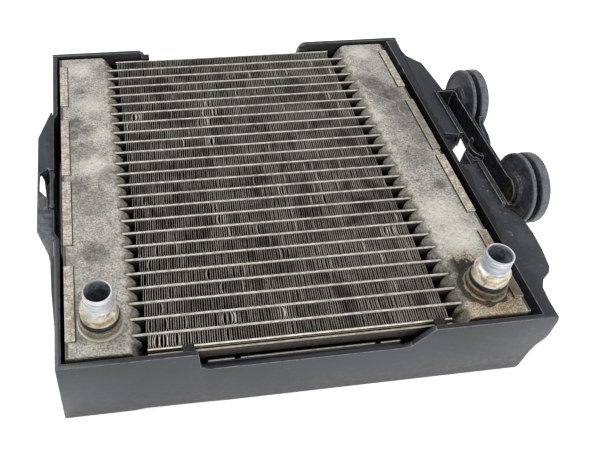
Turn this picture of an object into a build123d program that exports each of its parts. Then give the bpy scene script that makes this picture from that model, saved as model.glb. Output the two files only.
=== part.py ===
from build123d import *
import math
import os

# Low-temperature coolant radiator in a moulded air guide.
# Millimetres. X runs along the flat tubes, Y across them, Z up through the fins (the way the air goes).
# The core frame has the core's centre at X = Y = 0 and the air guide's bottom edge at Z = 0.
# Every part is moved by -BOX_CENTRE_X on export, so the origin is the bottom centre of the whole object.

# ---- core -------------------------------------------------------------------------------------
TUBE_COUNT = 24
TUBE_PITCH = 10.0
TUBE_T = 1.8
TUBE_DEPTH = 32.0
TUBE_HALF_LENGTH = 91.0
TUBE_WALL = 0.35
TUBE_PORTS = 5
FIN_T = 0.25
FIN_LEG_PITCH = 2.5
FIN_CREST = 0.6
FIN_LEFT_X = -82.5
FIN_RIGHT_X = 79.5
FIN_DEPTH = 31.0
FIN_BANKS = 5
SIDE_PLATE_T = 1.1
SIDE_PLATE_W = 3.0
SIDE_PLATE_BASE_T = 1.0
SIDE_PLATE_DROP = 1.7
SIDE_PLATE_LIP_H = 7.0
SIDE_PLATE_LEFT_X = -81.2
SIDE_PLATE_RIGHT_X = 79.0

# ---- tanks ------------------------------------------------------------------------------------
RIM_Z = 48.0
TANK_TOP_Z = RIM_Z
TANK_HEIGHT = 37.6
TANK_BOTTOM_Z = TANK_TOP_Z - TANK_HEIGHT
TANK_MID_Z = TANK_TOP_Z - TANK_HEIGHT / 2
TANK_OUTER_X = 121.3
TANK_DOME_R = 28.7
TANK_DOME_APEX_X = 83.0
DOME_FACETS = 12
TANK_HALF_LENGTH = 126.8
TANK_WALL = 1.5
COVER_T = 1.6
TAB_T = 1.1
TAB_W = 5.0
TAB_SPANS = [(116.5, 71.5), (56.0, 3.5), (-2.5, -53.5), (-68.8, -117.4)]
END_CAP_T = 1.5
END_CAP_RECESS = 0.4

# ---- coolant nipples ----------------------------------------------------------------------------
NIPPLE_X = 103.3
NIPPLE_Y = -107.6
COLLAR_R = 11.1
COLLAR_FOOT_R = 11.9
COLLAR_FOOT_H = 1.3
COLLAR_H = 5.6
SEAL_R = 10.3
SEAL_H = 3.0
SLEEVE_R = 9.7
SLEEVE_H = 5.6
SLEEVE_SHOULDER_R = 8.2
SLEEVE_SHOULDER_H = 2.4
NECK_R = 7.4
NECK_H = 9.9
NECK_CHAMFER = 0.4
BORE_R = 6.4
SPIGOT_DEPTH = 6.0

# ---- air guide ----------------------------------------------------------------------------------
GUIDE_LEFT_X = -126.5
GUIDE_RIGHT_X = 129.5
GUIDE_HALF_Y = 132.45
GUIDE_WALL = 3.0
GUIDE_RIM_T = 2.5
RIGHT_WALL_T = 2.5
RIGHT_WALL_DRAFT = 2.7
RIGHT_RIM_X = 134.6
SEAT_T = 2.5
SEAT_OPEN_HALF_X = 90.0
SEAT_OPEN_HALF_Y = 119.0
CUT_LEDGE_Z = 33.7
CUT_LIP_T = 1.0
CUT_LIP_H = 1.2
LEFT_STEP = 2.6
LEFT_STEP_LOW_Y = -42.0
LEFT_STEP_HIGH_Y = 59.0
LEFT_FLANGE_X = -136.0
TONGUE_ROOT_Y = -21.0
TONGUE_TIP_Y = 8.5
TONGUE_T = 2.0
TONGUE_Z = 34.0
TONGUE_INSET = 0.6
TONGUE_GAP = 0.4
TONGUE_PIVOT_R = 1.2
TONGUE_PIVOT_CLEARANCE = 0.05
RIGHT_FLANGE_X = 148.0
GAP_LOW_Y = -12.5
GAP_HIGH_Y = 17.5

# ---- grommet arm --------------------------------------------------------------------------------
ARM_INNER_X = 140.0
ARM_OUTER_X = 155.6
ARM_WALL = 2.2
ARM_BACK_Y = 64.0
ARM_FRONT_Y = -50.0
ARM_FLOOR_Z = 36.5
ARM_FLOOR_T = 2.2
ARM_TOP_Z = 49.5
ARM_SLOPE_Y = -28.0
ARM_BOTTOM_Z = 26.0
ARM_FRONT_Z = 31.5
ARM_BACK_BOTTOM_Z = 33.0
WINDOW_NEAR_Y = 4.8
WINDOW_FAR_Y = 29.0
WINDOW_FAR_X = 149.7
SKIRT_BOTTOM_Z = 26.0
SKIRT_TOP_Z = 43.0
RIB_T = 2.2
RIB_H = 1.0
BEAD_X = 160.0
BEAD_Y = 11.2
BEAD_R = 12.0
BEAD_T = 2.5
BEAD_H = 4.0
PIN_BOSS_R = 8.5
EAR_INNER_X = 161.4
EAR_OUTER_X = 164.4

# ---- rubber grommets ------------------------------------------------------------------------------
GROMMET_Y = [58.0, -31.4]
GROMMET_Z = 42.0
GROMMET_INNER_X = 158.0
GROMMET_WIDTH = 11.6
DISC_R = 22.4
INNER_DISC_T = 2.4
OUTER_DISC_T = 5.8
GROOVE_R = 14.0
HUB_R = 10.5
HUB_H = 2.1
PIN_R = 5.0
PIN_HEAD_R = 6.6
PIN_HEAD_T = 1.6
PIN_CLEARANCE = 0.05
HEAD_CLEARANCE = 0.4

BOX_CENTRE_X = (GROMMET_INNER_X + GROMMET_WIDTH + LEFT_FLANGE_X) / 2

TUBE_TOP_Z = TANK_MID_Z + TUBE_DEPTH / 2
CORE_HALF_Y = TUBE_PITCH * TUBE_COUNT / 2
FIN_ROW_W = TUBE_PITCH - TUBE_T
SIDE_PLATE_IN_Y = CORE_HALF_Y + FIN_ROW_W / 2
GUIDE_INNER_Y = GUIDE_HALF_Y - GUIDE_WALL
TONGUE_X = GUIDE_LEFT_X - LEFT_STEP + TONGUE_T / 2 + TONGUE_INSET

os.makedirs("parts", exist_ok=True)


def save(node, shape):
    """Write one node in the object's own frame."""
    moved = Pos(-BOX_CENTRE_X, 0, 0) * shape
    export_step(moved, f"parts/{node}.step")
    print(node, len(moved.solids()), round(moved.volume, 1))


def block(x0, x1, y0, y1, z0, z1):
    """Box from its two corners, in any order."""
    centre = ((x0 + x1) / 2, (y0 + y1) / 2, (z0 + z1) / 2)
    return Pos(*centre) * Box(abs(x1 - x0), abs(y1 - y0), abs(z1 - z0))


def plan_plate(points, z0, z1):
    """Plate with an XY outline."""
    face = make_face(Polyline(*points, close=True))
    return Pos(0, 0, z0) * extrude(face, z1 - z0)


def xz_plate(points, y0, y1):
    """Plate with an XZ outline, from y0 up to y1."""
    face = make_face(Polyline(*[(x, 0, z) for x, z in points], close=True))
    return Pos(0, y0, 0) * extrude(face, y1 - y0, dir=(0, 1, 0))


def yz_plate(points, x0, x1):
    """Plate with a YZ outline, from x0 up to x1."""
    face = make_face(Polyline(*[(0, y, z) for y, z in points], close=True))
    return Pos(x0, 0, 0) * extrude(face, x1 - x0, dir=(1, 0, 0))


def x_cylinder(radius, x0, x1, y, z):
    """Cylinder along X."""
    return Pos((x0 + x1) / 2, y, z) * Rot(0, 90, 0) * Cylinder(radius, x1 - x0)


def z_cylinder(radius, z0, z1, x, y):
    """Cylinder along Z."""
    return Pos(x, y, (z0 + z1) / 2) * Cylinder(radius, z1 - z0)


def one_solid(shape):
    """The only solid of a boolean result."""
    solids = shape.solids()
    if len(solids) != 1:
        raise ValueError(f"expected one solid, got {len(solids)}")
    return solids[0]


def tube_y(index):
    return CORE_HALF_Y - TUBE_PITCH / 2 - TUBE_PITCH * index


def fin_row_y(index):
    return CORE_HALF_Y - TUBE_PITCH * index


# ---- core parts -----------------------------------------------------------------------------------
def tube_outline():
    """Section of a flat tube across its length, with round narrow edges."""
    section = SlotOverall(TUBE_DEPTH, TUBE_T, rotation=90)
    return Plane.YZ * section


def flat_tube(y):
    """Extruded flat tube with parallel coolant ports."""
    body = extrude(tube_outline(), TUBE_HALF_LENGTH, both=True)
    web_pitch = (TUBE_DEPTH - TUBE_T) / TUBE_PORTS
    port_w = web_pitch - TUBE_WALL
    port_t = TUBE_T - 2 * TUBE_WALL
    for port in range(TUBE_PORTS):
        z = (port - (TUBE_PORTS - 1) / 2) * web_pitch
        body -= Pos(0, 0, z) * Box(2 * TUBE_HALF_LENGTH + 2, port_t, port_w)
    return Pos(0, y, TANK_MID_Z) * one_solid(body)


def fin_strip(y):
    """Corrugated strip: legs across the row, flat crests brazed to the tube on each side."""
    half = FIN_ROW_W / 2
    legs = int((FIN_RIGHT_X - FIN_LEFT_X) / FIN_LEG_PITCH)
    start = (FIN_LEFT_X + FIN_RIGHT_X - legs * FIN_LEG_PITCH) / 2
    lower = []
    upper = []
    for leg in range(legs + 1):
        x = start + leg * FIN_LEG_PITCH
        side = 1 if leg % 2 == 0 else -1
        for px in (x - FIN_CREST / 2, x + FIN_CREST / 2):
            lower.append((px, side * half - (FIN_T if side > 0 else 0)))
            upper.append((px, side * half + (FIN_T if side < 0 else 0)))
    ribbon = make_face(Polyline(*upper, *reversed(lower), close=True))
    return Pos(0, y, TUBE_TOP_Z - FIN_DEPTH) * one_solid(extrude(ribbon, FIN_DEPTH))


def side_plate(side):
    """Open channel that closes the core on one side; side is +1 at the back, -1 at the front."""
    y0 = SIDE_PLATE_IN_Y
    y1 = y0 + SIDE_PLATE_W
    top = TUBE_TOP_Z
    outer_top = top - SIDE_PLATE_DROP
    bottom = TUBE_TOP_Z - TUBE_DEPTH
    web_z = top - SIDE_PLATE_LIP_H
    outline = [
        (y0, bottom), (y1, bottom), (y1, bottom + SIDE_PLATE_T), (y0 + SIDE_PLATE_BASE_T, bottom + SIDE_PLATE_T),
        (y0 + SIDE_PLATE_BASE_T, web_z - SIDE_PLATE_T), (y1, web_z - SIDE_PLATE_T), (y1, outer_top),
        (y1 - SIDE_PLATE_T, outer_top), (y1 - SIDE_PLATE_T, web_z), (y0 + SIDE_PLATE_BASE_T, web_z),
        (y0 + SIDE_PLATE_BASE_T, top), (y0, top),
    ]
    plate = yz_plate([(y * side, z) for y, z in outline], SIDE_PLATE_LEFT_X, SIDE_PLATE_RIGHT_X)
    return one_solid(plate)


# ---- tanks ------------------------------------------------------------------------------------------
def dome_points(wall):
    """Outline of the domed header face from its top edge down, in flat facets, for the right-hand tank."""
    centre_x = TANK_DOME_APEX_X + TANK_DOME_R
    radius = TANK_DOME_R - wall
    half_angle = math.asin((TANK_HEIGHT / 2 - wall) / radius)
    points = []
    for step in range(DOME_FACETS + 1):
        angle = half_angle * (1 - 2 * step / DOME_FACETS)
        points.append((centre_x - radius * math.cos(angle), TANK_MID_Z + radius * math.sin(angle)))
    return points


def tank_section(wall):
    """XZ section of the right-hand tank, inset by wall, open at the cover side."""
    outer_x = TANK_OUTER_X - COVER_T
    outline = dome_points(wall) + [(outer_x, TANK_BOTTOM_Z + wall), (outer_x, TANK_TOP_Z - wall)]
    return make_face(Polyline(*[(x, 0, z) for x, z in outline], close=True))


def extrude_y(face, half_length):
    """Extrude an XZ face both ways along Y."""
    return Pos(0, -half_length, 0) * extrude(face, 2 * half_length, dir=(0, 1, 0))


def mirrored(shape, side):
    """The right-hand shape as it is, or its mirror image for the left."""
    return shape if side > 0 else mirror(shape, about=Plane.YZ)


def header_tank(side):
    """Folded sheet: top, domed header with the tube slots, and bottom."""
    solid_body = extrude_y(tank_section(0), TANK_HALF_LENGTH)
    hollow = extrude_y(tank_section(TANK_WALL), TANK_HALF_LENGTH + 1)
    shell = solid_body - hollow
    slot = extrude(tube_outline(), TUBE_HALF_LENGTH + 1, both=True)
    for index in range(TUBE_COUNT):
        shell -= Pos(0, tube_y(index), TANK_MID_Z) * slot
    shell -= z_cylinder(SLEEVE_SHOULDER_R, TANK_MID_Z, TANK_TOP_Z + 1, NIPPLE_X, NIPPLE_Y)
    return mirrored(one_solid(shell), side)


def tank_cover(side):
    """Flat closing plate with tabs folded over the top and bottom of the tank."""
    plate = block(TANK_OUTER_X - COVER_T, TANK_OUTER_X, -TANK_HALF_LENGTH, TANK_HALF_LENGTH,
                  TANK_BOTTOM_Z, TANK_TOP_Z)
    for y0, y1 in TAB_SPANS:
        plate += block(TANK_OUTER_X - TAB_W, TANK_OUTER_X, y0, y1, TANK_TOP_Z, TANK_TOP_Z + TAB_T)
    return mirrored(one_solid(plate), side)


def end_cap(side, end):
    """Plate that closes one end of a tank, set inside the folded sheet."""
    cap = extrude_y(tank_section(TANK_WALL), END_CAP_T / 2)
    place = end * (TANK_HALF_LENGTH - END_CAP_RECESS - END_CAP_T / 2)
    return mirrored(Pos(0, place, 0) * one_solid(cap), side)


def coolant_nipple(side):
    """Turned nipple: foot, collar, sleeve with a shoulder, and a chamfered neck."""
    z = TANK_TOP_Z
    profile = [
        (BORE_R, z - SPIGOT_DEPTH), (SLEEVE_SHOULDER_R, z - SPIGOT_DEPTH), (SLEEVE_SHOULDER_R, z),
        (COLLAR_FOOT_R, z), (COLLAR_FOOT_R, z + COLLAR_FOOT_H), (COLLAR_R, z + COLLAR_FOOT_H + 0.5),
        (COLLAR_R, z + COLLAR_H), (SLEEVE_SHOULDER_R, z + COLLAR_H),
    ]
    z_seal = z + COLLAR_H + SEAL_H
    z_shoulder = z_seal + SLEEVE_H
    z_neck = z_shoulder + SLEEVE_SHOULDER_H
    z_top = z_neck + NECK_H
    profile += [
        (SLEEVE_SHOULDER_R, z_seal), (SLEEVE_R, z_seal), (SLEEVE_R, z_shoulder),
        (SLEEVE_SHOULDER_R, z_neck), (NECK_R, z_neck), (NECK_R, z_top - NECK_CHAMFER),
        (NECK_R - NECK_CHAMFER, z_top), (BORE_R, z_top),
    ]
    face = make_face(Polyline(*[(r, 0, h) for r, h in profile], close=True))
    body = revolve(face, Axis.Z)
    return Pos(side * NIPPLE_X, NIPPLE_Y, 0) * one_solid(body)


def nipple_seal(side):
    """Rubber ring that sits on the collar, round the sleeve's waist."""
    z0 = TANK_TOP_Z + COLLAR_H
    ring = z_cylinder(SEAL_R, z0, z0 + SEAL_H, 0, 0)
    ring -= z_cylinder(SLEEVE_SHOULDER_R, z0 - 1, z0 + SEAL_H + 1, 0, 0)
    ring = fillet(ring.edges().filter_by(GeomType.CIRCLE).sort_by(SortBy.RADIUS)[-2:], 0.9)
    return Pos(side * NIPPLE_X, NIPPLE_Y, 0) * one_solid(ring)


# ---- air guide ----------------------------------------------------------------------------------------
def front_outline():
    """XZ outline of the front wall: lowered middle, S-shaped right edge and a nearly straight foot."""
    top = RIM_Z
    return [
        (GUIDE_LEFT_X, 0), (-90, 0), (-83, 1.2), (-72, 1), (-50, 0.6), (-40, 0), (128, 0), (129.4, 2), (129.9, 10),
        (130.6, 16.5), (131.9, 22), (134.9, 27.6), (135.8, 31), (135.8, 44), (RIGHT_RIM_X, top),
        (67, top), (65, 46), (60.5, 40), (57, 35), (52, CUT_LEDGE_Z),
        (-51, CUT_LEDGE_Z), (-55, CUT_LEDGE_Z + 2), (-56.7, top), (GUIDE_LEFT_X, top),
    ]


def back_outline():
    """XZ outline of the back wall: raised corners either side of a lowered middle."""
    top = RIM_Z + 1.5
    return [
        (GUIDE_LEFT_X, 0), (GUIDE_RIGHT_X - RIGHT_WALL_DRAFT, 0), (RIGHT_RIM_X, 31), (RIGHT_RIM_X, top),
        (62, top), (59, top - 1.5), (57, top - 5), (55, CUT_LEDGE_Z), (-56, CUT_LEDGE_Z), (-58, top - 6),
        (-61, top - 1.5), (-64, top), (GUIDE_LEFT_X, top),
    ]


def left_wall():
    """Left wall, set outwards behind the flange, with the opening for the snap tongue."""
    x0 = GUIDE_LEFT_X
    x1 = x0 + GUIDE_WALL
    step = LEFT_STEP
    outline = [
        (x0, -GUIDE_HALF_Y), (x1, -GUIDE_HALF_Y), (x1, LEFT_STEP_LOW_Y - 6), (x1 - step, LEFT_STEP_LOW_Y),
        (x1 - step, LEFT_STEP_HIGH_Y), (x1, LEFT_STEP_HIGH_Y + 6), (x1, GUIDE_HALF_Y), (x0, GUIDE_HALF_Y),
        (x0, LEFT_STEP_HIGH_Y + 6), (x0 - step, LEFT_STEP_HIGH_Y), (x0 - step, LEFT_STEP_LOW_Y),
        (x0, LEFT_STEP_LOW_Y - 6),
    ]
    wall = plan_plate(outline, 0, RIM_Z)
    opening = block(x0 - step - 1, x1 + 1, TONGUE_ROOT_Y - TONGUE_PIVOT_R - 2, TONGUE_TIP_Y + 1.5,
                    TONGUE_Z - 0.5, RIM_Z + 1)
    return wall - opening


def right_wall():
    """Drafted right wall."""
    x1 = GUIDE_RIGHT_X
    x0 = x1 - RIGHT_WALL_T
    d = RIGHT_WALL_DRAFT
    outline = [(x0 - d, 0), (x1 - d, 0), (x1, RIM_Z), (x0, RIM_Z)]
    return xz_plate(outline, -GUIDE_HALF_Y, GUIDE_HALF_Y)


def left_flange():
    """Flange that stands out from the left rim, slotted behind the snap tongue."""
    z0 = RIM_Z - GUIDE_RIM_T
    x_in = GUIDE_LEFT_X - 0.5
    outline = [
        (x_in, 67), (GUIDE_LEFT_X - 1.8, 66), (LEFT_FLANGE_X, 41), (LEFT_FLANGE_X, -40),
        (-129.8, -57), (-128.2, -66), (x_in, -68),
    ]
    plate = plan_plate(outline, z0, RIM_Z)
    tongue_room = block(-129.9, GUIDE_LEFT_X + 2, TONGUE_ROOT_Y - 3.2, TONGUE_TIP_Y + 1.5, z0 - 1, RIM_Z + 1)
    slot = plan_plate([(-134.7, 7), (-129.5, 11.5), (-129.5, -14.5), (-131.5, -12), (-134.7, -7.5)],
                      z0 - 1, RIM_Z + 1)
    web = plan_plate([(-134, 14), (-129.1, 18), (-129.1, 11.5), (-134, 8)], z0 - 9, z0)
    return plate - tongue_room - slot + web


def right_rim():
    """Narrow rim along the right wall, with the wide flange that carries the grommet arm."""
    z0 = RIM_Z - GUIDE_RIM_T
    x_in = GUIDE_RIGHT_X - 1
    arm_x = ARM_INNER_X
    back = [
        (x_in, GUIDE_HALF_Y), (RIGHT_RIM_X, GUIDE_HALF_Y), (RIGHT_RIM_X + 0.2, 116), (136, 110), (139.4, 105.1),
        (144.3, 99.6), (146.1, 83.3), (RIGHT_FLANGE_X, ARM_BACK_Y), (arm_x, ARM_BACK_Y), (arm_x, GAP_HIGH_Y - 1),
        (x_in, GAP_HIGH_Y + 2),
    ]
    front = [
        (x_in, GAP_LOW_Y), (arm_x, GAP_LOW_Y), (arm_x, ARM_FRONT_Y), (144.5, -56), (RIGHT_FLANGE_X, -64),
        (148.6, -74.2), (148, -86), (146.1, -99.1), (143.8, -103), (138.4, -107.2), (135.4, -112.7),
        (RIGHT_RIM_X, -121), (RIGHT_RIM_X, -GUIDE_HALF_Y), (x_in, -GUIDE_HALF_Y),
    ]
    lower_lip = plan_plate([(x_in, 21), (arm_x, 19), (arm_x, 15), (136, 11), (131, 9), (x_in, 8)], z0 - 6, z0 - 4)
    lip_wall = block(x_in, arm_x, 18.5, 20.5, z0 - 6, z0)
    step_wall = block(x_in, arm_x, GAP_LOW_Y - 1.8, GAP_LOW_Y, z0 - 14, z0)
    return plan_plate(back, z0, RIM_Z) + plan_plate(front, z0, RIM_Z) + lower_lip + lip_wall + step_wall


def seat_ledge():
    """Inward ledge that the tanks stand on, open under the core."""
    z1 = TANK_BOTTOM_Z
    z0 = z1 - SEAT_T
    x0 = GUIDE_LEFT_X + 1
    x1 = GUIDE_RIGHT_X - RIGHT_WALL_DRAFT - 1
    ledge = block(x0, x1, -GUIDE_INNER_Y, GUIDE_INNER_Y, z0, z1)
    return ledge - block(-SEAT_OPEN_HALF_X, SEAT_OPEN_HALF_X, -SEAT_OPEN_HALF_Y, SEAT_OPEN_HALF_Y, z0 - 1, z1 + 1)


def cut_ledge():
    """Inner ledge with a thin raised lip behind the lowered part of the front wall."""
    y0 = -GUIDE_INNER_Y - 0.5
    y1 = -SIDE_PLATE_IN_Y - SIDE_PLATE_W - 0.3
    z1 = CUT_LEDGE_Z
    ledge = block(-52, 52, y0, y1, z1 - 2.0, z1)
    lip = block(-51, 52, y1 - CUT_LIP_T, y1, z1, z1 + CUT_LIP_H)
    notches = block(-37, -34, y1 - 3, y1 + 1, z1 + 0.2, z1 + 3)
    notches += block(38, 41, y1 - 3, y1 + 1, z1 + 0.2, z1 + 3)
    return ledge + (lip - notches)


def core_hook(x, side):
    """Small hook on the guide's wall that reaches over the core's side plate."""
    y_wall = side * (GUIDE_INNER_Y + 0.5)
    y_plate = side * (SIDE_PLATE_IN_Y + SIDE_PLATE_W - 2.2)
    stem = block(x - 3, x + 3, y_wall, side * (SIDE_PLATE_IN_Y + SIDE_PLATE_W + 0.4), 30, TUBE_TOP_Z + 2.2)
    nose = block(x - 3, x + 3, y_wall, y_plate, TUBE_TOP_Z + 0.2, TUBE_TOP_Z + 2.2)
    return stem + nose


def tongue_socket():
    """Knuckles above and below the snap tongue's root."""
    x = TONGUE_X
    low = z_cylinder(TONGUE_PIVOT_R + 1.3, TONGUE_Z - 4, TONGUE_Z - TONGUE_GAP, x, TONGUE_ROOT_Y)
    bore = z_cylinder(TONGUE_PIVOT_R + TONGUE_PIVOT_CLEARANCE, TONGUE_Z - 3.4, TONGUE_Z, x, TONGUE_ROOT_Y)
    return low, bore


def air_guide():
    """One moulding: four walls, rims, flanges, seat ledge and hooks."""
    guide = xz_plate(front_outline(), -GUIDE_HALF_Y, -GUIDE_INNER_Y)
    guide += xz_plate(back_outline(), GUIDE_INNER_Y, GUIDE_HALF_Y)
    guide += left_wall()
    guide += right_wall()
    guide += left_flange()
    guide += right_rim()
    guide += seat_ledge()
    guide += cut_ledge()
    for x, side in [(-59.5, 1), (60, 1), (-61, -1), (71, -1)]:
        guide += core_hook(x, side)
    socket, bore = tongue_socket()
    guide = guide + socket - bore
    return one_solid(guide)


def snap_tongue():
    """Springy tongue beside the left flange's slot; it bends about its root."""
    x = TONGUE_X
    blade = block(x - TONGUE_T / 2, x + TONGUE_T / 2, TONGUE_ROOT_Y, TONGUE_TIP_Y, TONGUE_Z, RIM_Z)
    root = z_cylinder(TONGUE_PIVOT_R + 0.4, TONGUE_Z, RIM_Z, x, TONGUE_ROOT_Y)
    pin = z_cylinder(TONGUE_PIVOT_R, TONGUE_Z - 3, TONGUE_Z, x, TONGUE_ROOT_Y)
    nose = plan_plate([(x + TONGUE_T / 2, TONGUE_TIP_Y), (x + TONGUE_T / 2 + 0.9, TONGUE_TIP_Y - 2),
                       (x + TONGUE_T / 2, TONGUE_TIP_Y - 7)], RIM_Z - 6, RIM_Z - 1)
    return one_solid(blade + root + pin + nose)


# ---- grommet arm and grommets ----------------------------------------------------------------------------
def grommet_arm():
    """Channel-shaped arm with the two pins that carry the rubber grommets."""
    z_floor = ARM_FLOOR_Z
    inner = block(ARM_INNER_X, ARM_INNER_X + ARM_WALL, ARM_FRONT_Y, ARM_BACK_Y, z_floor, ARM_TOP_Z)
    outer = yz_plate([
        (ARM_BACK_Y, ARM_BACK_BOTTOM_Z), (ARM_BACK_Y, ARM_TOP_Z), (ARM_SLOPE_Y, ARM_TOP_Z), (-43, 33), (-49, 31),
        (-49, ARM_BOTTOM_Z), (0, ARM_BOTTOM_Z), (12, ARM_BACK_BOTTOM_Z),
    ], ARM_OUTER_X - ARM_WALL, ARM_OUTER_X)
    floor = plan_plate([
        (ARM_INNER_X, ARM_BACK_Y), (ARM_OUTER_X, ARM_BACK_Y), (ARM_OUTER_X, ARM_FRONT_Y + 1),
        (ARM_INNER_X, ARM_FRONT_Y),
    ], z_floor - ARM_FLOOR_T, z_floor)
    back = block(ARM_INNER_X, ARM_OUTER_X, ARM_BACK_Y - ARM_WALL, ARM_BACK_Y, z_floor, ARM_TOP_Z)
    front = block(ARM_INNER_X, ARM_OUTER_X, ARM_FRONT_Y, ARM_FRONT_Y + ARM_WALL, ARM_FRONT_Z, z_floor)
    arm = inner + outer + floor + back + front
    arm -= plan_plate([
        (ARM_INNER_X - 1, WINDOW_NEAR_Y), (ARM_INNER_X + 0.2, WINDOW_NEAR_Y), (WINDOW_FAR_X - 1, 16),
        (WINDOW_FAR_X, WINDOW_FAR_Y), (ARM_INNER_X - 1, WINDOW_FAR_Y),
    ], z_floor - ARM_FLOOR_T - 1, z_floor + 1)
    arm -= block(ARM_INNER_X - 1, ARM_INNER_X + ARM_WALL + 0.5, GAP_LOW_Y, GAP_HIGH_Y - 1, z_floor, ARM_TOP_Z + 1)
    arm += block(ARM_INNER_X, ARM_INNER_X + ARM_WALL, GAP_LOW_Y, WINDOW_NEAR_Y, SKIRT_BOTTOM_Z, SKIRT_TOP_Z)
    arm += window_edge()
    arm += stop_ear()
    for y in GROMMET_Y:
        arm += x_cylinder(PIN_BOSS_R, ARM_OUTER_X - ARM_WALL, ARM_OUTER_X, y, GROMMET_Z)
        arm += x_cylinder(PIN_R, ARM_OUTER_X, GROMMET_INNER_X + GROMMET_WIDTH - 0.4, y, GROMMET_Z)
        head_x = GROMMET_INNER_X + GROMMET_WIDTH - PIN_HEAD_T
        arm += x_cylinder(PIN_HEAD_R, head_x, head_x + PIN_HEAD_T, y, GROMMET_Z)
    return one_solid(arm)


def window_edge():
    """Low rib in front of the arm's window and a curved bead against the outer wall."""
    x1 = ARM_OUTER_X - ARM_WALL
    z0 = ARM_FLOOR_Z - ARM_FLOOR_T / 2
    rib = block(ARM_INNER_X + 1, x1 + 1, WINDOW_NEAR_Y - RIB_T - 0.3, WINDOW_NEAR_Y - 0.3, z0, ARM_FLOOR_Z + RIB_H)
    bead = z_cylinder(BEAD_R, z0, ARM_FLOOR_Z + BEAD_H, BEAD_X, BEAD_Y)
    bead -= z_cylinder(BEAD_R - BEAD_T, z0 - 1, RIM_Z, BEAD_X, BEAD_Y)
    inside = block(ARM_INNER_X, x1 + 0.7, BEAD_Y - BEAD_R - 1, BEAD_Y + BEAD_R + 1, z0 - 1, RIM_Z)
    return rib + (bead & inside)


def stop_ear():
    """Small ear on the outside of the arm, in front of the rear grommet."""
    ear = yz_plate([
        (34.6, 40), (34.4, 46.5), (33.4, 48.6), (32.4, 48.8), (31.9, 47.6), (31, 45.8), (29.4, 44.4), (23.4, 43.1),
        (20.2, 42.8), (17.5, 41.9), (14.8, 40.4), (12.7, 38), (12.2, 35), (22, 34), (34, 36),
    ], EAR_INNER_X, EAR_OUTER_X)
    bridge = yz_plate([(20, 41.5), (14, 38), (13.5, 35), (20, 34.5)], ARM_OUTER_X - 1, EAR_INNER_X + 0.5)
    return ear + bridge


def rubber_grommet(y):
    """Spool-shaped rubber bush: thin inner disc, deep groove, thick outer disc, hub towards the arm."""
    x0 = GROMMET_INNER_X
    x1 = x0 + GROMMET_WIDTH
    spool = x_cylinder(GROOVE_R, x0, x1, 0, 0)
    spool += fillet(x_cylinder(DISC_R, x0, x0 + INNER_DISC_T, 0, 0).edges().filter_by(GeomType.CIRCLE), 0.9)
    spool += fillet(x_cylinder(DISC_R, x1 - OUTER_DISC_T, x1, 0, 0).edges().filter_by(GeomType.CIRCLE), 1.6)
    spool += x_cylinder(HUB_R, x0 - HUB_H, x0 + 1, 0, 0)
    spool -= x_cylinder(PIN_R + PIN_CLEARANCE, x0 - HUB_H - 1, x1 + 1, 0, 0)
    spool -= x_cylinder(PIN_HEAD_R + HEAD_CLEARANCE, x1 - PIN_HEAD_T - HEAD_CLEARANCE, x1 + 1, 0, 0)
    return Pos(0, y, GROMMET_Z) * one_solid(spool)


# ---- write every node ------------------------------------------------------------------------------------
for index in range(TUBE_COUNT):
    save(f"flat_tube_{index + 1:02d}", flat_tube(tube_y(index)))

rows_per_bank = (TUBE_COUNT + 1) // FIN_BANKS
for bank in range(FIN_BANKS):
    rows = range(bank * rows_per_bank, (bank + 1) * rows_per_bank)
    save(f"fin_bank_{bank + 1}", Compound([fin_strip(fin_row_y(row)) for row in rows]))

save("side_plate_back", side_plate(1))
save("side_plate_front", side_plate(-1))

for hand, side in [("left", -1), ("right", 1)]:
    save(f"header_tank_{hand}", header_tank(side))
    save(f"tank_cover_{hand}", tank_cover(side))
    save(f"end_cap_{hand}_back", end_cap(side, 1))
    save(f"end_cap_{hand}_front", end_cap(side, -1))
    save(f"coolant_nipple_{hand}", coolant_nipple(side))
    save(f"nipple_seal_{hand}", nipple_seal(side))

save("air_guide", air_guide())
save("snap_tongue", snap_tongue())
save("grommet_arm", grommet_arm())
for place, y in zip(["back", "front"], GROMMET_Y):
    save(f"rubber_grommet_{place}", rubber_grommet(y))
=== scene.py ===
import math
import random

import bmesh
import bpy
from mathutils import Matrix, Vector, noise


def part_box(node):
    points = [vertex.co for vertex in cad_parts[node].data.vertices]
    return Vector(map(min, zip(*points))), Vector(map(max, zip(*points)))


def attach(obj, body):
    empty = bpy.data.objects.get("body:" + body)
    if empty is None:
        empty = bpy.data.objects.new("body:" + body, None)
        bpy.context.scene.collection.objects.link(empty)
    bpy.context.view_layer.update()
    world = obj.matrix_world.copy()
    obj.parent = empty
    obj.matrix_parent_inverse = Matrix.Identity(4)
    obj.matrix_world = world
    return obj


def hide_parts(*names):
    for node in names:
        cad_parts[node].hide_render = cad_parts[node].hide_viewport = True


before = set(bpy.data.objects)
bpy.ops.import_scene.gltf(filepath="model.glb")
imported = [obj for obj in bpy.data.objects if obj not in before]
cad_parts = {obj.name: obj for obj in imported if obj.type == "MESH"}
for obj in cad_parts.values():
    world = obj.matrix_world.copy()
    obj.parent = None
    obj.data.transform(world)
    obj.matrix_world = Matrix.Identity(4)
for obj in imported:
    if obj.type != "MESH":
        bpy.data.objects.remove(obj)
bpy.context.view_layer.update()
random.seed(41)

# Lengths are millimetres in the frame shared with the CAD, unless a name ends in _M.
MM = 0.001

# ---- camera and studio -----------------------------------------------
CAMERA_PLACE_M = (-0.1101, -0.32001, 0.34582)
CAMERA_TURN_DEG = (42.924, -2.104, -8.376)
CAMERA_LENS = 42.863
CAMERA_SHIFT_X = 0.1594
CAMERA_SENSOR = 36.0
CAMERA_CLIP_M = 0.02
FLOOR_HALF = 4000.0
FLOOR_GLOW = 0.5
WORLD_STRENGTH = 0.5
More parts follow.
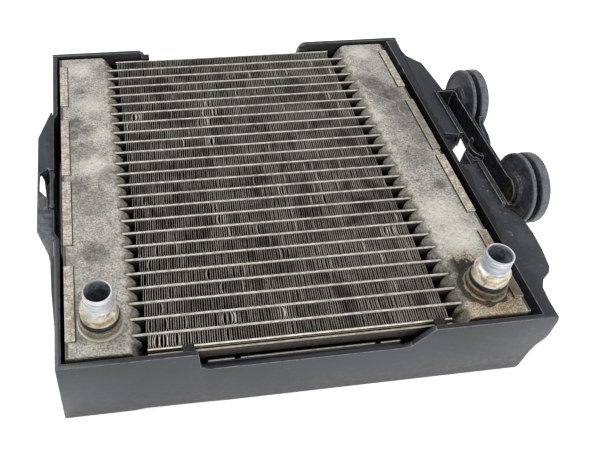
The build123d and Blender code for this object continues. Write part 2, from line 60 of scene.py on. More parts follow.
# Each area light's name, place, target, size and power.
LAMPS_M = [
    ("key", (-0.9, 0.5, 1.5), (0, 0, 0), (1.2, 1.2), 26),
    ("front", (0.3, -1.6, 0.7), (0, 0, 0.03), (1.6, 0.8), 16),
    ("right", (1.5, -0.1, 0.9), (0.05, 0, 0.03), (0.8, 1.2), 9),
]


# ---- reading the frame -----------------------------------------------
def box_mm(node):
    """Lowest and highest corner of a CAD node."""
    lo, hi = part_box(node)
    return lo / MM, hi / MM


def axis_mm(node):
    """Middle of a CAD node, seen from above."""
    lo, hi = box_mm(node)
    return (lo.x + hi.x) / 2, (lo.y + hi.y) / 2


TUBES = sorted(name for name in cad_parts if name.startswith("flat_tube_"))
BANKS = sorted(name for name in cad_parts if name.startswith("fin_bank_"))
TUBE_LO, TUBE_HI = box_mm(TUBES[0])
CORE_TOP = TUBE_HI.z
TUBE_T = TUBE_HI.y - TUBE_LO.y
TUBE_PITCH = TUBE_LO.y - box_mm(TUBES[1])[0].y
GUIDE_LO, GUIDE_HI = box_mm("air_guide")
RIM_TOP = box_mm("header_tank_left")[1].z
FIN_ROW_W = TUBE_PITCH - TUBE_T
ROWS_PER_BANK = (len(TUBES) + 1) // len(BANKS)
# How far the side plates' outer lips and the guide's ledge lie below the core and the rim.
SIDE_LIP_DROP = 1.7
LEDGE_DROP = 13.1
LIP_TOP = CORE_TOP - SIDE_LIP_DROP
LEDGE_LIP = RIM_TOP - LEDGE_DROP
# The folded tabs: their width and the stretches of y that they cover.
TAB_W = 5.0
TAB_SPANS = [(116.5, 71.5), (56.0, 3.5), (-2.5, -53.5), (-68.8, -117.4)]


# ---- mesh helpers ----------------------------------------------------
WELD_M = 1e-6
FLAT_DEG = 0.6
BEVEL_FROM_DEG = 32
SMOOTH_DEG = 50


def link(name, mesh, node_names=(), body="radiator", material=None):
    """Put a finished mesh in the scene as a piece that rides on a body."""
    piece = bpy.data.objects.new(name, mesh)
    bpy.context.scene.collection.objects.link(piece)
    if material is not None:
        mesh.materials.clear()
        mesh.materials.append(material)
    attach(piece, body)
    if node_names:
        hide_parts(*node_names)
    return piece


def mesh_from(name, points, faces, smooth_deg=40):
    """Mesh from points in millimetres."""
    mesh = bpy.data.meshes.new(name)
    mesh.from_pydata([(x * MM, y * MM, z * MM) for x, y, z in points], [], faces)
    mesh.update()
    shade(mesh, smooth_deg)
    return mesh


def shade(mesh, angle_deg):
    """Smooth shading that keeps edges sharper than the angle."""
    work = bmesh.new()
    work.from_mesh(mesh)
    bmesh.ops.recalc_face_normals(work, faces=work.faces)
    limit = math.radians(angle_deg)
    for face in work.faces:
        face.smooth = True
    for edge in work.edges:
        edge.smooth = not (len(edge.link_faces) == 2 and edge.calc_face_angle() > limit)
    work.to_mesh(mesh)
    work.free()


def ring_faces(rings, count, closed):
    """Quads between neighbouring rings of count points; closed joins the last ring to the first."""
    faces = []
    for ring in range(rings if closed else rings - 1):
        here, there = ring * count, (ring + 1) % rings * count
        for k in range(count):
            n = (k + 1) % count
            faces.append((here + k, there + k, there + n, here + n))
    return faces


def end_faces(rings, count):
    """The faces that close the first and the last of a row of rings."""
    last = (rings - 1) * count
    return [tuple(range(count)), tuple(reversed(range(last, last + count)))]


def lathe(profile, axis, centre, segments=96, wobble=0.0, seed=0):
    """Points and faces of a closed profile of (radius, height) turned about axis through centre."""
    points = []
    for turn in range(segments):
        angle = 2 * math.pi * turn / segments
        c, s = math.cos(angle), math.sin(angle)
        for radius, height in profile:
            r = radius
            if wobble:
                r += wobble * noise.noise(Vector((3 * c + seed, 3 * s, height * 0.8)))
            if axis == "Z":
                points.append((centre[0] + r * c, centre[1] + r * s, height))
            else:
                points.append((height, centre[1] + r * c, centre[2] + r * s))
    return points, ring_faces(segments, len(profile), True)


def rounded(profile, radius, steps=3):
    """Closed (radius, height) profile with its corners rounded by up to radius."""
    out = []
    count = len(profile)
    for k in range(count):
        before, here, after = (Vector(profile[(k + d) % count]) for d in (-1, 0, 1))
        back, on = before - here, after - here
        reach = min(radius, 0.45 * back.length, 0.45 * on.length)
        start, end = here + back.normalized() * reach, here + on.normalized() * reach
        for step in range(steps + 1):
            t = step / steps
            p = start.lerp(here, t).lerp(here.lerp(end, t), t)
            out.append((p.x, p.y))
    return out


def softened(node, width, name, material, body="radiator", adjust=None):
    """Copy of a CAD node with its edges rounded; the middle of each rounding carries a wear value of 1."""
    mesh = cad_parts[node].data.copy()
    mesh.name = name
    work = bmesh.new()
    work.from_mesh(mesh)
    bmesh.ops.remove_doubles(work, verts=work.verts, dist=WELD_M)
    bmesh.ops.dissolve_limit(work, angle_limit=math.radians(FLAT_DEG), verts=work.verts, edges=work.edges)
    if adjust:
        for vert in work.verts:
            adjust(vert.co)
    wear = work.verts.layers.float.new("wear")
    low = [min(vert.co[k] for vert in work.verts) for k in range(3)]
    high = [max(vert.co[k] for vert in work.verts) for k in range(3)]
    limit = math.radians(BEVEL_FROM_DEG)
    sharp = [e for e in work.edges if len(e.link_faces) == 2 and e.calc_face_angle() > limit]
    made = bmesh.ops.bevel(work, geom=sharp, offset=width * MM, offset_type="OFFSET", segments=2,
                           profile=0.5, affect="EDGES", clamp_overlap=False)
    strips = set(made["faces"])
    for vert in made["verts"]:
        if all(face in strips for face in vert.link_faces):
            vert[wear] = 1.0
    # A bevel can throw a spike at a narrow corner, so every point is kept in the node's own box.
    for vert in work.verts:
        vert.co = [min(max(vert.co[k], low[k]), high[k]) for k in range(3)]
    bmesh.ops.triangulate(work, faces=[f for f in work.faces if len(f.verts) > 4])
    work.to_mesh(mesh)
    work.free()
    shade(mesh, SMOOTH_DEG)
    return link(name, mesh, (node,), body, material)


# ---- material helper -------------------------------------------------
class Paint:
    """A procedural material under construction, in object coordinates."""

    def __init__(self, name):
        self.material = bpy.data.materials.new(name)
        self.material.use_nodes = True
        self.tree = self.material.node_tree
        self.shader = self.tree.nodes["Principled BSDF"]
        self.coords = self.tree.nodes.new("ShaderNodeTexCoord").outputs["Object"]
        split = self.add("ShaderNodeSeparateXYZ", [self.coords])
        self.x, self.y, self.z = split.outputs

    def add(self, kind, values=(), **settings):
        """New node; values fill its inputs in order, and None leaves one alone."""
        node = self.tree.nodes.new(kind)
        for key, value in settings.items():
            setattr(node, key, value)
        for socket, value in zip(node.inputs, values):
            self.put(socket, value)
        return node

    def put(self, socket, value):
        if value is None:
            return
        if isinstance(value, bpy.types.NodeSocket):
            self.tree.links.new(value, socket)
        else:
            socket.default_value = value

    def math(self, operation, a, b=None):
        return self.add("ShaderNodeMath", [a, b], operation=operation).outputs[0]

    def times(self, a, b):
        return self.math("MULTIPLY", a, b)

    def vector(self, operation, a, b):
        """Vector sum; a distance or a dot product comes out as a number."""
        node = self.add("ShaderNodeVectorMath", [a, b], operation=operation)
        return node.outputs["Value" if operation in ("DISTANCE", "DOT_PRODUCT") else "Vector"]

    def stretched(self, sx, sy, sz):
        """Object coordinates scaled per axis, for streaks."""
        return self.vector("MULTIPLY", self.coords, (sx, sy, sz))

    def grain_node(self, size_mm, detail, rough, warp=0.0, coords=None):
        node = self.add("ShaderNodeTexNoise")
        self.put(node.inputs["Vector"], coords or self.coords)
        self.put(node.inputs["Scale"], 1.0 / (size_mm * MM))
        self.put(node.inputs["Detail"], detail)
        self.put(node.inputs["Roughness"], rough)
        self.put(node.inputs["Distortion"], warp)
        return node

    def grain(self, size_mm, detail=4.0, rough=0.6, warp=0.0, coords=None):
        """Noise from 0 to 1 with features of about size_mm."""
        return self.grain_node(size_mm, detail, rough, warp, coords).outputs[0]

    def cells(self, size_mm):
        """Distance to the middle of the nearest of many scattered cells."""
        node = self.add("ShaderNodeTexVoronoi")
        self.put(node.inputs["Vector"], self.coords)
        self.put(node.inputs["Scale"], 1.0 / (size_mm * MM))
        return node.outputs["Distance"]

    def span(self, value, start, end, low=0.0, high=1.0, smooth=True):
        """Value remapped from start..end to low..high."""
        kind = "SMOOTHSTEP" if smooth else "LINEAR"
        node = self.add("ShaderNodeMapRange", [value, start, end, low, high], interpolation_type=kind)
        return node.outputs[0]

    def blend(self, factor, a, b):
        """Colour a turning into colour b."""
        node = self.add("ShaderNodeMix", data_type="RGBA")
        self.put(node.inputs[0], factor)
        self.put(node.inputs[6], a)
        self.put(node.inputs[7], b)
        return node.outputs[2]

    def near(self, x, y, radius_mm, soft_mm):
        """1 within radius of a point seen from above, fading to 0 over soft_mm."""
        away = self.vector("DISTANCE", self.stretched(1, 1, 0), (x * MM, y * MM, 0.0))
        return self.span(away, (radius_mm + soft_mm) * MM, radius_mm * MM)

    def lobes(self, spots, warp_mm=7.0, outer=1.35, inner=0.35):
        """Ragged patches at (x, y, radius, level), seen from above."""
        wander = self.grain_node(8.0, 5.0, 0.68).outputs["Color"]
        warp = warp_mm * MM
        shift = self.vector("MULTIPLY", wander, (warp, warp, 0))
        here = self.vector("ADD", self.stretched(1, 1, 0), shift)
        total = None
        for x, y, radius, level in spots:
            centre = (x * MM + warp / 2, y * MM + warp / 2, 0.0)
            away = self.vector("DISTANCE", here, centre)
            lobe = self.span(away, outer * radius * MM, inner * radius * MM, 0.0, level)
            total = lobe if total is None else self.math("MAXIMUM", total, lobe)
        return total

    def worn(self, name="wear"):
        """The value that a mesh carries under the name."""
        return self.add("ShaderNodeAttribute", attribute_name=name).outputs["Fac"]

    def band(self, axis, low_mm, high_mm, soft_mm):
        """1 between two heights on an axis, with soft ends."""
        up = self.span(axis, (low_mm - soft_mm) * MM, (low_mm + soft_mm) * MM)
        down = self.span(axis, (high_mm + soft_mm) * MM, (high_mm - soft_mm) * MM)
        return self.times(up, down)

    def bump(self, height, depth_mm, under=None, strength=1.0):
        node = self.add("ShaderNodeBump")
        self.put(node.inputs["Strength"], strength)
        self.put(node.inputs["Distance"], depth_mm * MM)
        self.put(node.inputs["Height"], height)
        self.put(node.inputs["Normal"], under)
        return node.outputs[0]

    def done(self, colour, roughness, metallic=0.0, normal=None, **sockets):
        self.put(self.shader.inputs["Base Color"], colour)
        self.put(self.shader.inputs["Roughness"], roughness)
        self.put(self.shader.inputs["Metallic"], metallic)
        self.put(self.shader.inputs["Normal"], normal)
        for key, value in sockets.items():
            self.put(self.shader.inputs[key.replace("_", " ")], value)
        return self.material


def rgb(red, green, blue):
    """Linear colour from 0..255 display values."""
    return tuple((c / 255.0) ** 2.2 for c in (red, green, blue)) + (1.0,)


# Hose neck of the nipples.
BORE_R = 6.4
NECK_R = 7.4

# ---- materials -------------------------------------------------------
# Patches seen on the tanks' tops, measured through the fitted camera: x, y, radius and strength.
TANK_GREY = {
    "left": [(-129, 54, 6.5, 0.75), (-131.5, 42, 6, 0.7), (-132, 27, 5, 0.6), (-126, 88, 5, 0.5),
             (-121, 45, 7, 0.45), (-124, 25, 8, 0.4), (-130, -6, 9, 0.6), (-108, 2, 9, 0.45),
             (-121, -22, 13, 0.35), (-121, -60, 9, 0.6), (-107, 112, 6, 0.5)],
    "right": [(73, 83, 7, 0.7), (82, 77, 10, 0.75), (90, 64, 12, 0.8), (94, 47, 11, 0.7),
              (93, 32, 10, 0.6), (96, 16, 9, 0.55), (92, -28, 5, 0.6), (88, 0, 10, 0.4)],
}
TANK_PALE = {
    "left": [(-124, 113, 9, 0.6), (-118, 72, 10, 0.5), (-118, 11, 10, 0.6), (-113, 40, 8, 0.4)],
    "right": [(85, 117, 9, 0.6), (73, 42, 6, 0.5), (84, -52, 14, 0.7), (86, -72, 14, 0.8)],
}
TANK_PITS = {
    "left": [(-121, 84, 10, 0.8), (-123, 34, 10, 0.8), (-121, -10, 14, 0.7), (-121, -52, 12, 0.8)],
    "right": [(81, 6, 12, 1.0), (88, -10, 12, 1.0), (76, -20, 10, 1.0), (86, 100, 9, 0.6)],
}
# Scratches on the right tank, measured in the same way: from x0, y0 to x1, y1.
TANK_SCRATCHES = [(78.4, 66.5, 91.4, 54.8), (91.7, 49.1, 92.9, 40.1), (70.5, 88.9, 78.4, 66.5)]


def scratch_mask(p, x0, y0, x1, y1, width_mm):
    """1 on a thin line between two points on top of the object, broken up by grain."""
    length = math.hypot(x1 - x0, y1 - y0)
    ux, uy = (x1 - x0) / length, (y1 - y0) / length
    from_start = p.vector("SUBTRACT", p.coords, (x0 * MM, y0 * MM, 0))
    along = p.vector("DOT_PRODUCT", from_start, (ux, uy, 0))
    across = p.vector("DOT_PRODUCT", from_start, (-uy, ux, 0))
    across = p.math("ADD", across, p.span(p.grain(6.0, 2.0), 0.2, 0.8, -1.2 * MM, 1.2 * MM, False))
    line = p.span(p.math("ABSOLUTE", across), width_mm * MM, 0.2 * width_mm * MM)
    return p.times(line, p.band(along, 0.0, length, 1.5))


def tab_shadow(p, side):
    """1 on a thin painted shadow line where the tabs' inner edges meet the tank's top."""
    lo, hi = box_mm(f"tank_cover_{side}")
    edge = hi.x - TAB_W if side == "right" else lo.x + TAB_W
    inward = -1 if side == "right" else 1
    line = p.band(p.x, *sorted((edge - inward * 0.3, edge + inward * 0.6)), 0.15)
    spans = None
    for high, low in TAB_SPANS:
        here = p.band(p.y, low - 0.5, high + 0.5, 0.2)
        spans = here if spans is None else p.math("MAXIMUM", spans, here)
    return p.times(line, spans)


def tank_material(side):
    """Oxidised sheet aluminium: sandy speckle, dark pits, water stains and grime at the nipple."""
    p = Paint(f"tank_{side}_corroded_aluminium")
    x, y = axis_mm(f"coolant_nipple_{side}")
    coarse = p.grain(7.0, 6.0, 0.66, 0.6)
    fine = p.grain(1.2, 6.0, 0.75)
    colour = p.blend(p.span(fine, 0.32, 0.66), rgb(92, 89, 84), rgb(190, 186, 178))
    colour = p.blend(p.span(coarse, 0.46, 0.7, 0.0, 0.6), colour, rgb(96, 93, 88))
    pale = p.lobes(TANK_PALE[side])
    pale = p.times(pale, p.span(p.grain(2.2, 5.0, 0.7), 0.3, 0.6, 0.35, 1.0))
    colour = p.blend(pale, colour, rgb(206, 201, 191))
    grey = p.lobes(TANK_GREY[side], 9.0, *((1.2, 0.55) if side == "left" else (1.6, 0.3)))
    grey = p.times(grey, p.span(p.grain(3.0, 6.0, 0.72), 0.3, 0.62, 0.55, 1.0))
    colour = p.blend(grey, colour, rgb(52, 51, 49))
    specks = p.span(p.grain(0.9, 3.0, 0.5), 0.62, 0.72)
    colour = p.blend(p.times(specks, 0.5), colour, rgb(70, 65, 58))
    pits = p.times(p.lobes(TANK_PITS[side]), p.span(p.grain(2.4, 3.0, 0.55, 0.4), 0.58, 0.66))
    colour = p.blend(p.times(pits, 0.8), colour, rgb(54, 50, 45))
    # Sand and sludge that collects round the nipple.
    reach = 30.0 if side == "right" else 7.0
    ragged = p.span(p.grain(5.0, 5.0, 0.7), 0.35, 0.75, -0.45, 0.3)
    sand = p.math("ADD", p.near(x, y, 8.0, reach), ragged)
    sand = p.span(sand, 0.1, 0.5, 0.0, 0.8 if side == "right" else 0.25)
    grains = p.blend(p.span(p.grain(1.0, 4.0, 0.7), 0.42, 0.6), rgb(88, 70, 46), rgb(182, 163, 128))
    colour = p.blend(sand, colour, grains)
    ragged = p.span(p.grain(3.2, 5.0, 0.7), 0.35, 0.7, -0.45, 0.3)
    sludge = p.math("ADD", p.near(x - 8.0, y + 5.0, 11.0, 10.0), ragged)
    sludge = p.span(sludge, 0.35, 0.62, 0.0, 0.95 if side == "right" else 0.4)
    colour = p.blend(sludge, colour, rgb(24, 20, 16))
    # Painted shadow along the tabs' inner edges.
    colour = p.blend(p.times(tab_shadow(p, side), 0.85), colour, rgb(30, 28, 25))
    if side == "right":
        for ends in TANK_SCRATCHES:
            colour = p.blend(p.times(scratch_mask(p, *ends, 0.4), 0.5), colour, rgb(214, 211, 204))
    # Painted shade: a grey band along the outer fold, then a darker dome, and near-black painted shade deep
    # between the tubes.
    depth = p.span(p.z, (RIM_TOP - 0.4) * MM, (RIM_TOP - 2.6) * MM, 0.0, 0.8)
    colour = p.blend(depth, colour, p.blend(p.span(fine, 0.36, 0.64), rgb(52, 48, 43), rgb(116, 109, 98)))
    # Painted shade, near black, deep between the tubes.
    low = p.span(p.z, (RIM_TOP - 9.0) * MM, (RIM_TOP - 19.0) * MM, 0.0, 0.75)
    colour = p.blend(low, colour, rgb(24, 22, 20))
    worn = p.times(p.worn(), p.span(fine, 0.3, 0.6))
    colour = p.blend(p.times(worn, 0.4), colour, rgb(206, 200, 188))
    rough = p.span(fine, 0.3, 0.75, 0.5, 0.82)
    normal = p.bump(p.grain(0.6, 4.0, 0.7), 0.14, strength=0.8)
    normal = p.bump(p.span(p.cells(2.2), 0.05, 0.32), 0.08, normal, 0.5)
    normal = p.bump(pits, -0.2, normal, 0.8)
    normal = p.bump(coarse, 0.45, normal, 0.5)
    return p.done(colour, rough, 0.15, normal, Specular_IOR_Level=0.35)


def tab_material(side):
    """Folded tabs: pale chalky faces with brown specks; the tab beside the right nipple is stained dark."""
    p = Paint(f"tab_{side}_chalky_aluminium")
    fine = p.grain(1.1, 5.0, 0.7)
    colour = p.blend(p.span(fine, 0.32, 0.62), rgb(112, 106, 95), rgb(198, 192, 178))
    tan = p.times(p.span(p.grain(5.0, 6.0, 0.72, 1.0), 0.44, 0.62), 0.7)
    colour = p.blend(tan, colour, rgb(122, 106, 84))
    dark = p.span(p.grain(1.5, 4.0, 0.65), 0.62, 0.7)
    colour = p.blend(p.times(dark, 0.75), colour, rgb(66, 58, 48))
    if side == "right":
        cloud = p.span(p.grain(8.0, 5.0, 0.7), 0.36, 0.6, 0.45, 0.8)
        dull = p.times(p.band(p.y, -3.0, 60.0, 4.0), cloud)
        colour = p.blend(dull, colour, rgb(104, 100, 92))
        brown = p.span(p.y, -62.0 * MM, -86.0 * MM, 0.0, 0.85)
        colour = p.blend(p.times(brown, p.span(fine, 0.3, 0.6, 0.6, 1.0)), colour, rgb(76, 60, 42))
    # Painted shade on the tabs' sides, darker towards the tank's top.
    below = p.span(p.z, (RIM_TOP + 0.7) * MM, (RIM_TOP + 0.2) * MM, 0.0, 0.85)
    colour = p.blend(below, colour, rgb(44, 40, 35))
    worn = p.times(p.worn(), p.span(fine, 0.3, 0.6, 0.2, 0.8))
    colour = p.blend(worn, colour, rgb(222, 218, 208))
    normal = p.bump(p.grain(0.6, 4.0, 0.7), 0.12, strength=0.7)
    normal = p.bump(p.grain(4.0, 3.0), 0.35, normal, 0.5)
    return p.done(colour, p.span(fine, 0.3, 0.7, 0.48, 0.8), 0.15, normal, Specular_IOR_Level=0.35)


def tube_material():
    """Tube edge: bright worn crown, darker flanks below it that are partly dirt and partly painted shade, and
    painted shade deeper down.
    """
    p = Paint("tube_worn_aluminium")
    fine = p.grain(1.0, 4.0, 0.65, coords=p.stretched(0.35, 1.0, 1.0))
    crown = p.blend(p.span(fine, 0.3, 0.66), rgb(146, 141, 131), rgb(206, 202, 192))
    patchy = p.times(p.span(p.grain(14.0, 5.0, 0.65), 0.5, 0.7), 0.5)
    crown = p.blend(patchy, crown, rgb(128, 121, 106))
    # Flanks below the crown: partly dirt, partly painted shade.
    colour = p.blend(p.span(p.z, (CORE_TOP - 0.2) * MM, (CORE_TOP - 0.65) * MM), crown, rgb(58, 54, 48))
    # Painted shade: the tubes go near black deeper into the core.
    deep = p.span(p.z, (CORE_TOP - 1.2) * MM, (CORE_TOP - 8.0) * MM, 0.0, 0.85)
    colour = p.blend(deep, colour, rgb(20, 19, 17))
    normal = p.bump(p.grain(0.5, 4.0, 0.7), 0.06, strength=0.6)
    return p.done(colour, p.span(fine, 0.3, 0.7, 0.42, 0.66), 0.3, normal)


def fin_material():
    """Thin fin sheet: grey-brown dirt, pale cut edges, bright where legs are bent over."""
    p = Paint("fin_dirty_aluminium")
    fine = p.grain(0.7, 3.0, 0.6)
    dirt = p.grain(16.0, 5.0, 0.65, 0.5)
    edge = p.blend(p.span(dirt, 0.36, 0.68), rgb(158, 154, 145), rgb(112, 107, 99))
    smear = p.grain(13.0, 5.0, 0.66, 0.4, p.stretched(1.0, 0.4, 1.0))
    smear = p.span(smear, 0.5, 0.64, 0.0, 0.65)
    body = p.blend(p.span(dirt, 0.36, 0.68), rgb(60, 56, 50), rgb(38, 35, 31))
    top = p.span(p.z, (CORE_TOP - 1.3) * MM, (CORE_TOP - 0.3) * MM)
    top = p.times(top, p.span(fine, 0.3, 0.6, 0.5, 1.0))
    colour = p.blend(top, body, edge)
    colour = p.blend(smear, colour, rgb(40, 36, 30))
    # Painted shade: the fins go near black deeper into the core.
    deep = p.span(p.z, (CORE_TOP - 1.5) * MM, (CORE_TOP - 7.0) * MM, 0.0, 0.92)
    colour = p.blend(deep, colour, rgb(10, 9, 8))
    bent = p.times(p.worn("bent"), p.span(fine, 0.3, 0.6, 0.6, 1.0))
    colour = p.blend(bent, colour, rgb(222, 217, 206))
    return p.done(colour, p.span(fine, 0.3, 0.7, 0.45, 0.7), 0.25, p.bump(fine, 0.05, strength=0.5))


def nipple_material(side):
    """Turned aluminium: frosted ringed neck, stained sleeve, grimy collar."""
    p = Paint(f"nipple_{side}_turned_aluminium")
    mouth = box_mm(f"coolant_nipple_{side}")[1].z
    seal_lo, seal_hi = box_mm(f"nipple_seal_{side}")
    fine = p.grain(0.9, 5.0, 0.7)
    ring = p.grain(0.5, 2.0, 0.5, coords=p.stretched(0.05, 0.05, 1.0))
    neck = p.blend(p.span(ring, 0.35, 0.65), rgb(150, 154, 158), rgb(204, 207, 210))
    dull = p.span(p.grain(3.0, 5.0, 0.7), 0.55, 0.72, 0.0, 0.45)
    neck = p.blend(dull, neck, rgb(120, 121, 122))
    stain = p.grain(4.2, 5.0, 0.7, 0.8)
    if side == "right":
        sleeve = p.blend(p.span(stain, 0.44, 0.64), rgb(202, 193, 170), rgb(146, 128, 96))
        sleeve = p.blend(p.span(p.grain(6.0, 4.0, 0.6, 0.6), 0.48, 0.56), sleeve, rgb(222, 220, 214))
    else:
        sleeve = p.blend(p.span(stain, 0.42, 0.64), rgb(182, 174, 152), rgb(130, 115, 88))
        sleeve = p.blend(p.span(p.grain(4.0, 4.0, 0.6, 0.6), 0.55, 0.66), sleeve, rgb(206, 203, 194))
    shoulder = p.math("ADD", p.z, p.span(p.grain(3.0, 4.0, 0.7), 0.3, 0.7, -0.9 * MM, 0.9 * MM))
    colour = p.blend(p.span(shoulder, (seal_hi.z + 7.0) * MM, (seal_hi.z + 9.2) * MM), sleeve, neck)
    rust = p.times(p.band(shoulder, seal_hi.z + 5.4, seal_hi.z + 7.4, 0.7), p.span(stain, 0.44, 0.58))
    colour = p.blend(p.times(rust, 0.4), colour, rgb(132, 106, 70))
    runs = p.span(p.grain(1.8, 4.0, 0.6, coords=p.stretched(1.0, 1.0, 0.12)), 0.58, 0.68, 0.0, 0.5)
    runs = p.times(runs, p.span(p.z, (seal_hi.z + 8.5) * MM, (seal_hi.z + 6.5) * MM))
    colour = p.blend(runs, colour, rgb(70, 62, 50))
    if side == "right":
        collar = p.blend(p.span(fine, 0.38, 0.64), rgb(36, 29, 22), rgb(112, 94, 70))
    else:
        collar = p.blend(p.span(fine, 0.35, 0.62), rgb(64, 58, 50), rgb(140, 131, 115))
    colour = p.blend(p.span(p.z, (seal_lo.z + 0.8) * MM, (seal_lo.z - 0.4) * MM), colour, collar)
    foot = p.span(p.z, (RIM_TOP + 1.9) * MM, (RIM_TOP + 1.0) * MM, 0.0, 0.7)
    colour = p.blend(foot, colour, rgb(134, 124, 106) if side == "right" else rgb(190, 182, 164))
    x, y = axis_mm(f"coolant_nipple_{side}")
    below_mouth = p.span(p.z, (mouth - 0.1) * MM, (mouth - 1.5) * MM)
    bore = p.times(p.near(x, y, BORE_R + 0.15, 0.12), below_mouth)
    inside = p.blend(p.span(p.grain(2.5, 4.0), 0.4, 0.65), rgb(140, 146, 152), rgb(84, 90, 97))
    colour = p.blend(bore, colour, inside)
    rough = p.span(fine, 0.3, 0.7, 0.34, 0.56)
    normal = p.bump(ring, 0.05, strength=0.6)
    low = p.span(p.z, (seal_hi.z + 8.0) * MM, (seal_hi.z + 5.0) * MM)
    normal = p.bump(p.times(p.grain(0.9, 5.0, 0.75), low), 0.3, normal, 0.8)
    metal = p.span(p.z, (seal_hi.z + 5.0) * MM, (seal_hi.z + 9.0) * MM, 0.15, 0.4)
    return p.done(colour, rough, metal, normal)


def seal_material():
    """Black rubber ring with grit on it."""
    p = Paint("seal_black_rubber")
    grit = p.grain(0.8, 5.0, 0.75)
    colour = p.blend(p.span(grit, 0.54, 0.74), rgb(14, 13, 12), rgb(82, 70, 54))
    return p.done(colour, p.span(grit, 0.3, 0.7, 0.42, 0.75), 0.0, p.bump(grit, 0.2, strength=0.7))


def sludge_material():
    """Dried road grime, nearly black with sandy grains."""
    p = Paint("sludge_dried_grime")
    grit = p.grain(0.9, 5.0, 0.75)
    colour = p.blend(p.span(grit, 0.46, 0.7), rgb(18, 15, 12), rgb(104, 82, 56))
    return p.done(colour, p.span(grit, 0.3, 0.7, 0.55, 0.9), 0.0, p.bump(grit, 0.4, strength=0.9))


def plastic(name, shade_low, shade_high, edge_level):
    """Smooth moulded plastic: faint clouds, hairline scratches and thin pale edges, partly wear and partly
    painted highlight.
    """
    p = Paint(name)
    cloud = p.grain(50.0, 3.0, 0.5, 0.4)
    colour = p.blend(p.span(cloud, 0.36, 0.66), shade_low, shade_high)
    film = p.grain(3.0, 6.0, 0.7)
    colour = p.blend(p.span(film, 0.5, 0.8, 0.0, 0.1), colour, rgb(128, 128, 130))
    scratch = p.span(p.grain(1.4, 3.0, 0.5, 0.3, p.stretched(0.14, 1.0, 0.9)), 0.70, 0.74, 0.0, 0.14)
    colour = p.blend(scratch, colour, rgb(150, 150, 152))
    # Pale rounded edges: partly edge wear, partly painted highlight standing in for light caught on the
    # edges.
    broken = p.span(p.grain(3.5, 4.0, 0.7), 0.34, 0.6, 0.25 * edge_level, edge_level)
    edge_wear_and_highlight = p.times(p.worn(), broken)
    colour = p.blend(edge_wear_and_highlight, colour, rgb(150, 152, 158))
    rough = p.span(film, 0.3, 0.8, 0.34, 0.5)
    normal = p.bump(p.grain(0.3, 2.0, 0.5), 0.012, strength=0.5)
    return p, colour, rough, normal


# The painted gutter shade's outer edge at its ends, beside the arm's back part and beside its front part.
GUTTER_END_X = 110.2
GUTTER_BACK_X = 114.2
GUTTER_FRONT_X = 114.5


def guide_material():
    """Air guide: painted shade blacks its inside and a band along the right wall; scuffed on the left flange
    and the front flange.
    """
    p, colour, rough, normal = plastic("guide_moulded_plastic", rgb(33, 35, 39), rgb(41, 43, 48), 0.55)
    # Painted shade: the inside, below the rim and between the tanks, is turned near black.
    inner_y = (GUIDE_LO.y + 2.0) * MM
    inside = p.times(p.span(p.y, inner_y, inner_y + 1.4 * MM),
                    p.span(p.y, (GUIDE_HI.y - 2.0) * MM, (GUIDE_HI.y - 3.4) * MM))
    left_in = (box_mm("header_tank_left")[0].x - 3.0) * MM
    right_in = (box_mm("header_tank_right")[1].x + 5.0) * MM
    inside = p.times(inside, p.span(p.x, left_in, left_in + 1.0 * MM))
    inside = p.times(inside, p.span(p.x, right_in, right_in - 1.0 * MM))
    inside = p.times(inside, p.span(p.z, (RIM_TOP - 0.1) * MM, (RIM_TOP - 0.5) * MM))
    colour = p.blend(p.times(inside, 0.93), colour, rgb(8, 8, 8))
    # Painted shade: a black ragged band along the right wall, widest beside the arm.
    reach = p.math("MINIMUM", p.span(p.y, 98.0 * MM, 40.0 * MM, GUTTER_END_X * MM, GUTTER_BACK_X * MM, False),
                   p.span(p.y, -92.0 * MM, -55.0 * MM, GUTTER_END_X * MM, GUTTER_FRONT_X * MM, False))
    reach = p.math("ADD", reach, p.span(p.grain(8.0, 2.0, 0.4), 0.35, 0.65, -1.1 * MM, 1.1 * MM, False))
    painted_gutter_shade = p.span(p.math("SUBTRACT", reach, p.x), -0.1 * MM, 0.3 * MM)
    beside_tank = p.times(p.span(p.x, 104.0 * MM, 105.0 * MM), p.band(p.y, -95.0, 100.0, 2.0))
    painted_gutter_shade = p.times(painted_gutter_shade, beside_tank)
    colour = p.blend(p.times(painted_gutter_shade, 0.95), colour, rgb(6, 6, 7))
    # Pale thin lip on the ledge behind the lowered part of the front wall: painted highlight where the lip
    # catches the light, with some wear.
    lip = p.times(p.band(p.z, LEDGE_LIP - 0.35, LEDGE_LIP + 0.3, 0.05),
                 p.band(p.y, GUIDE_LO.y + 3.9, GUIDE_LO.y + 5.3, 0.1))
    lip = p.times(lip, p.span(p.grain(2.5, 4.0, 0.6), 0.3, 0.55, 0.4, 0.9))
    colour = p.blend(lip, colour, rgb(168, 160, 142))
    # Hand-rubbed, paler lower half of the left flange.
    flange = p.times(p.span(p.x, (GUIDE_LO.x + 10.0) * MM, (GUIDE_LO.x + 7.0) * MM),
                    p.band(p.y, -62.0, -4.0, 12.0))
    rubbed = p.times(flange, p.span(p.grain(5.0, 6.0, 0.75, 1.0), 0.38, 0.66, 0.0, 0.4))
    colour = p.blend(rubbed, colour, rgb(130, 130, 130))
    # Brown film and pale rubs on the flange in front of the arm.
    apron = p.times(p.span(p.x, 114.0 * MM, 118.0 * MM), p.band(p.y, -104.0, -16.0, 8.0))
    film = p.times(apron, p.span(p.grain(14.0, 5.0, 0.6, 0.4), 0.4, 0.7, 0.0, 0.3))
    colour = p.blend(film, colour, rgb(82, 82, 86))
    rubs = p.times(apron, p.span(p.grain(2.6, 4.0, 0.6, 1.2), 0.64, 0.7, 0.0, 0.6))
    colour = p.blend(rubs, colour, rgb(150, 150, 150))
    return p.done(colour, rough, 0.0, normal, Specular_IOR_Level=0.5)


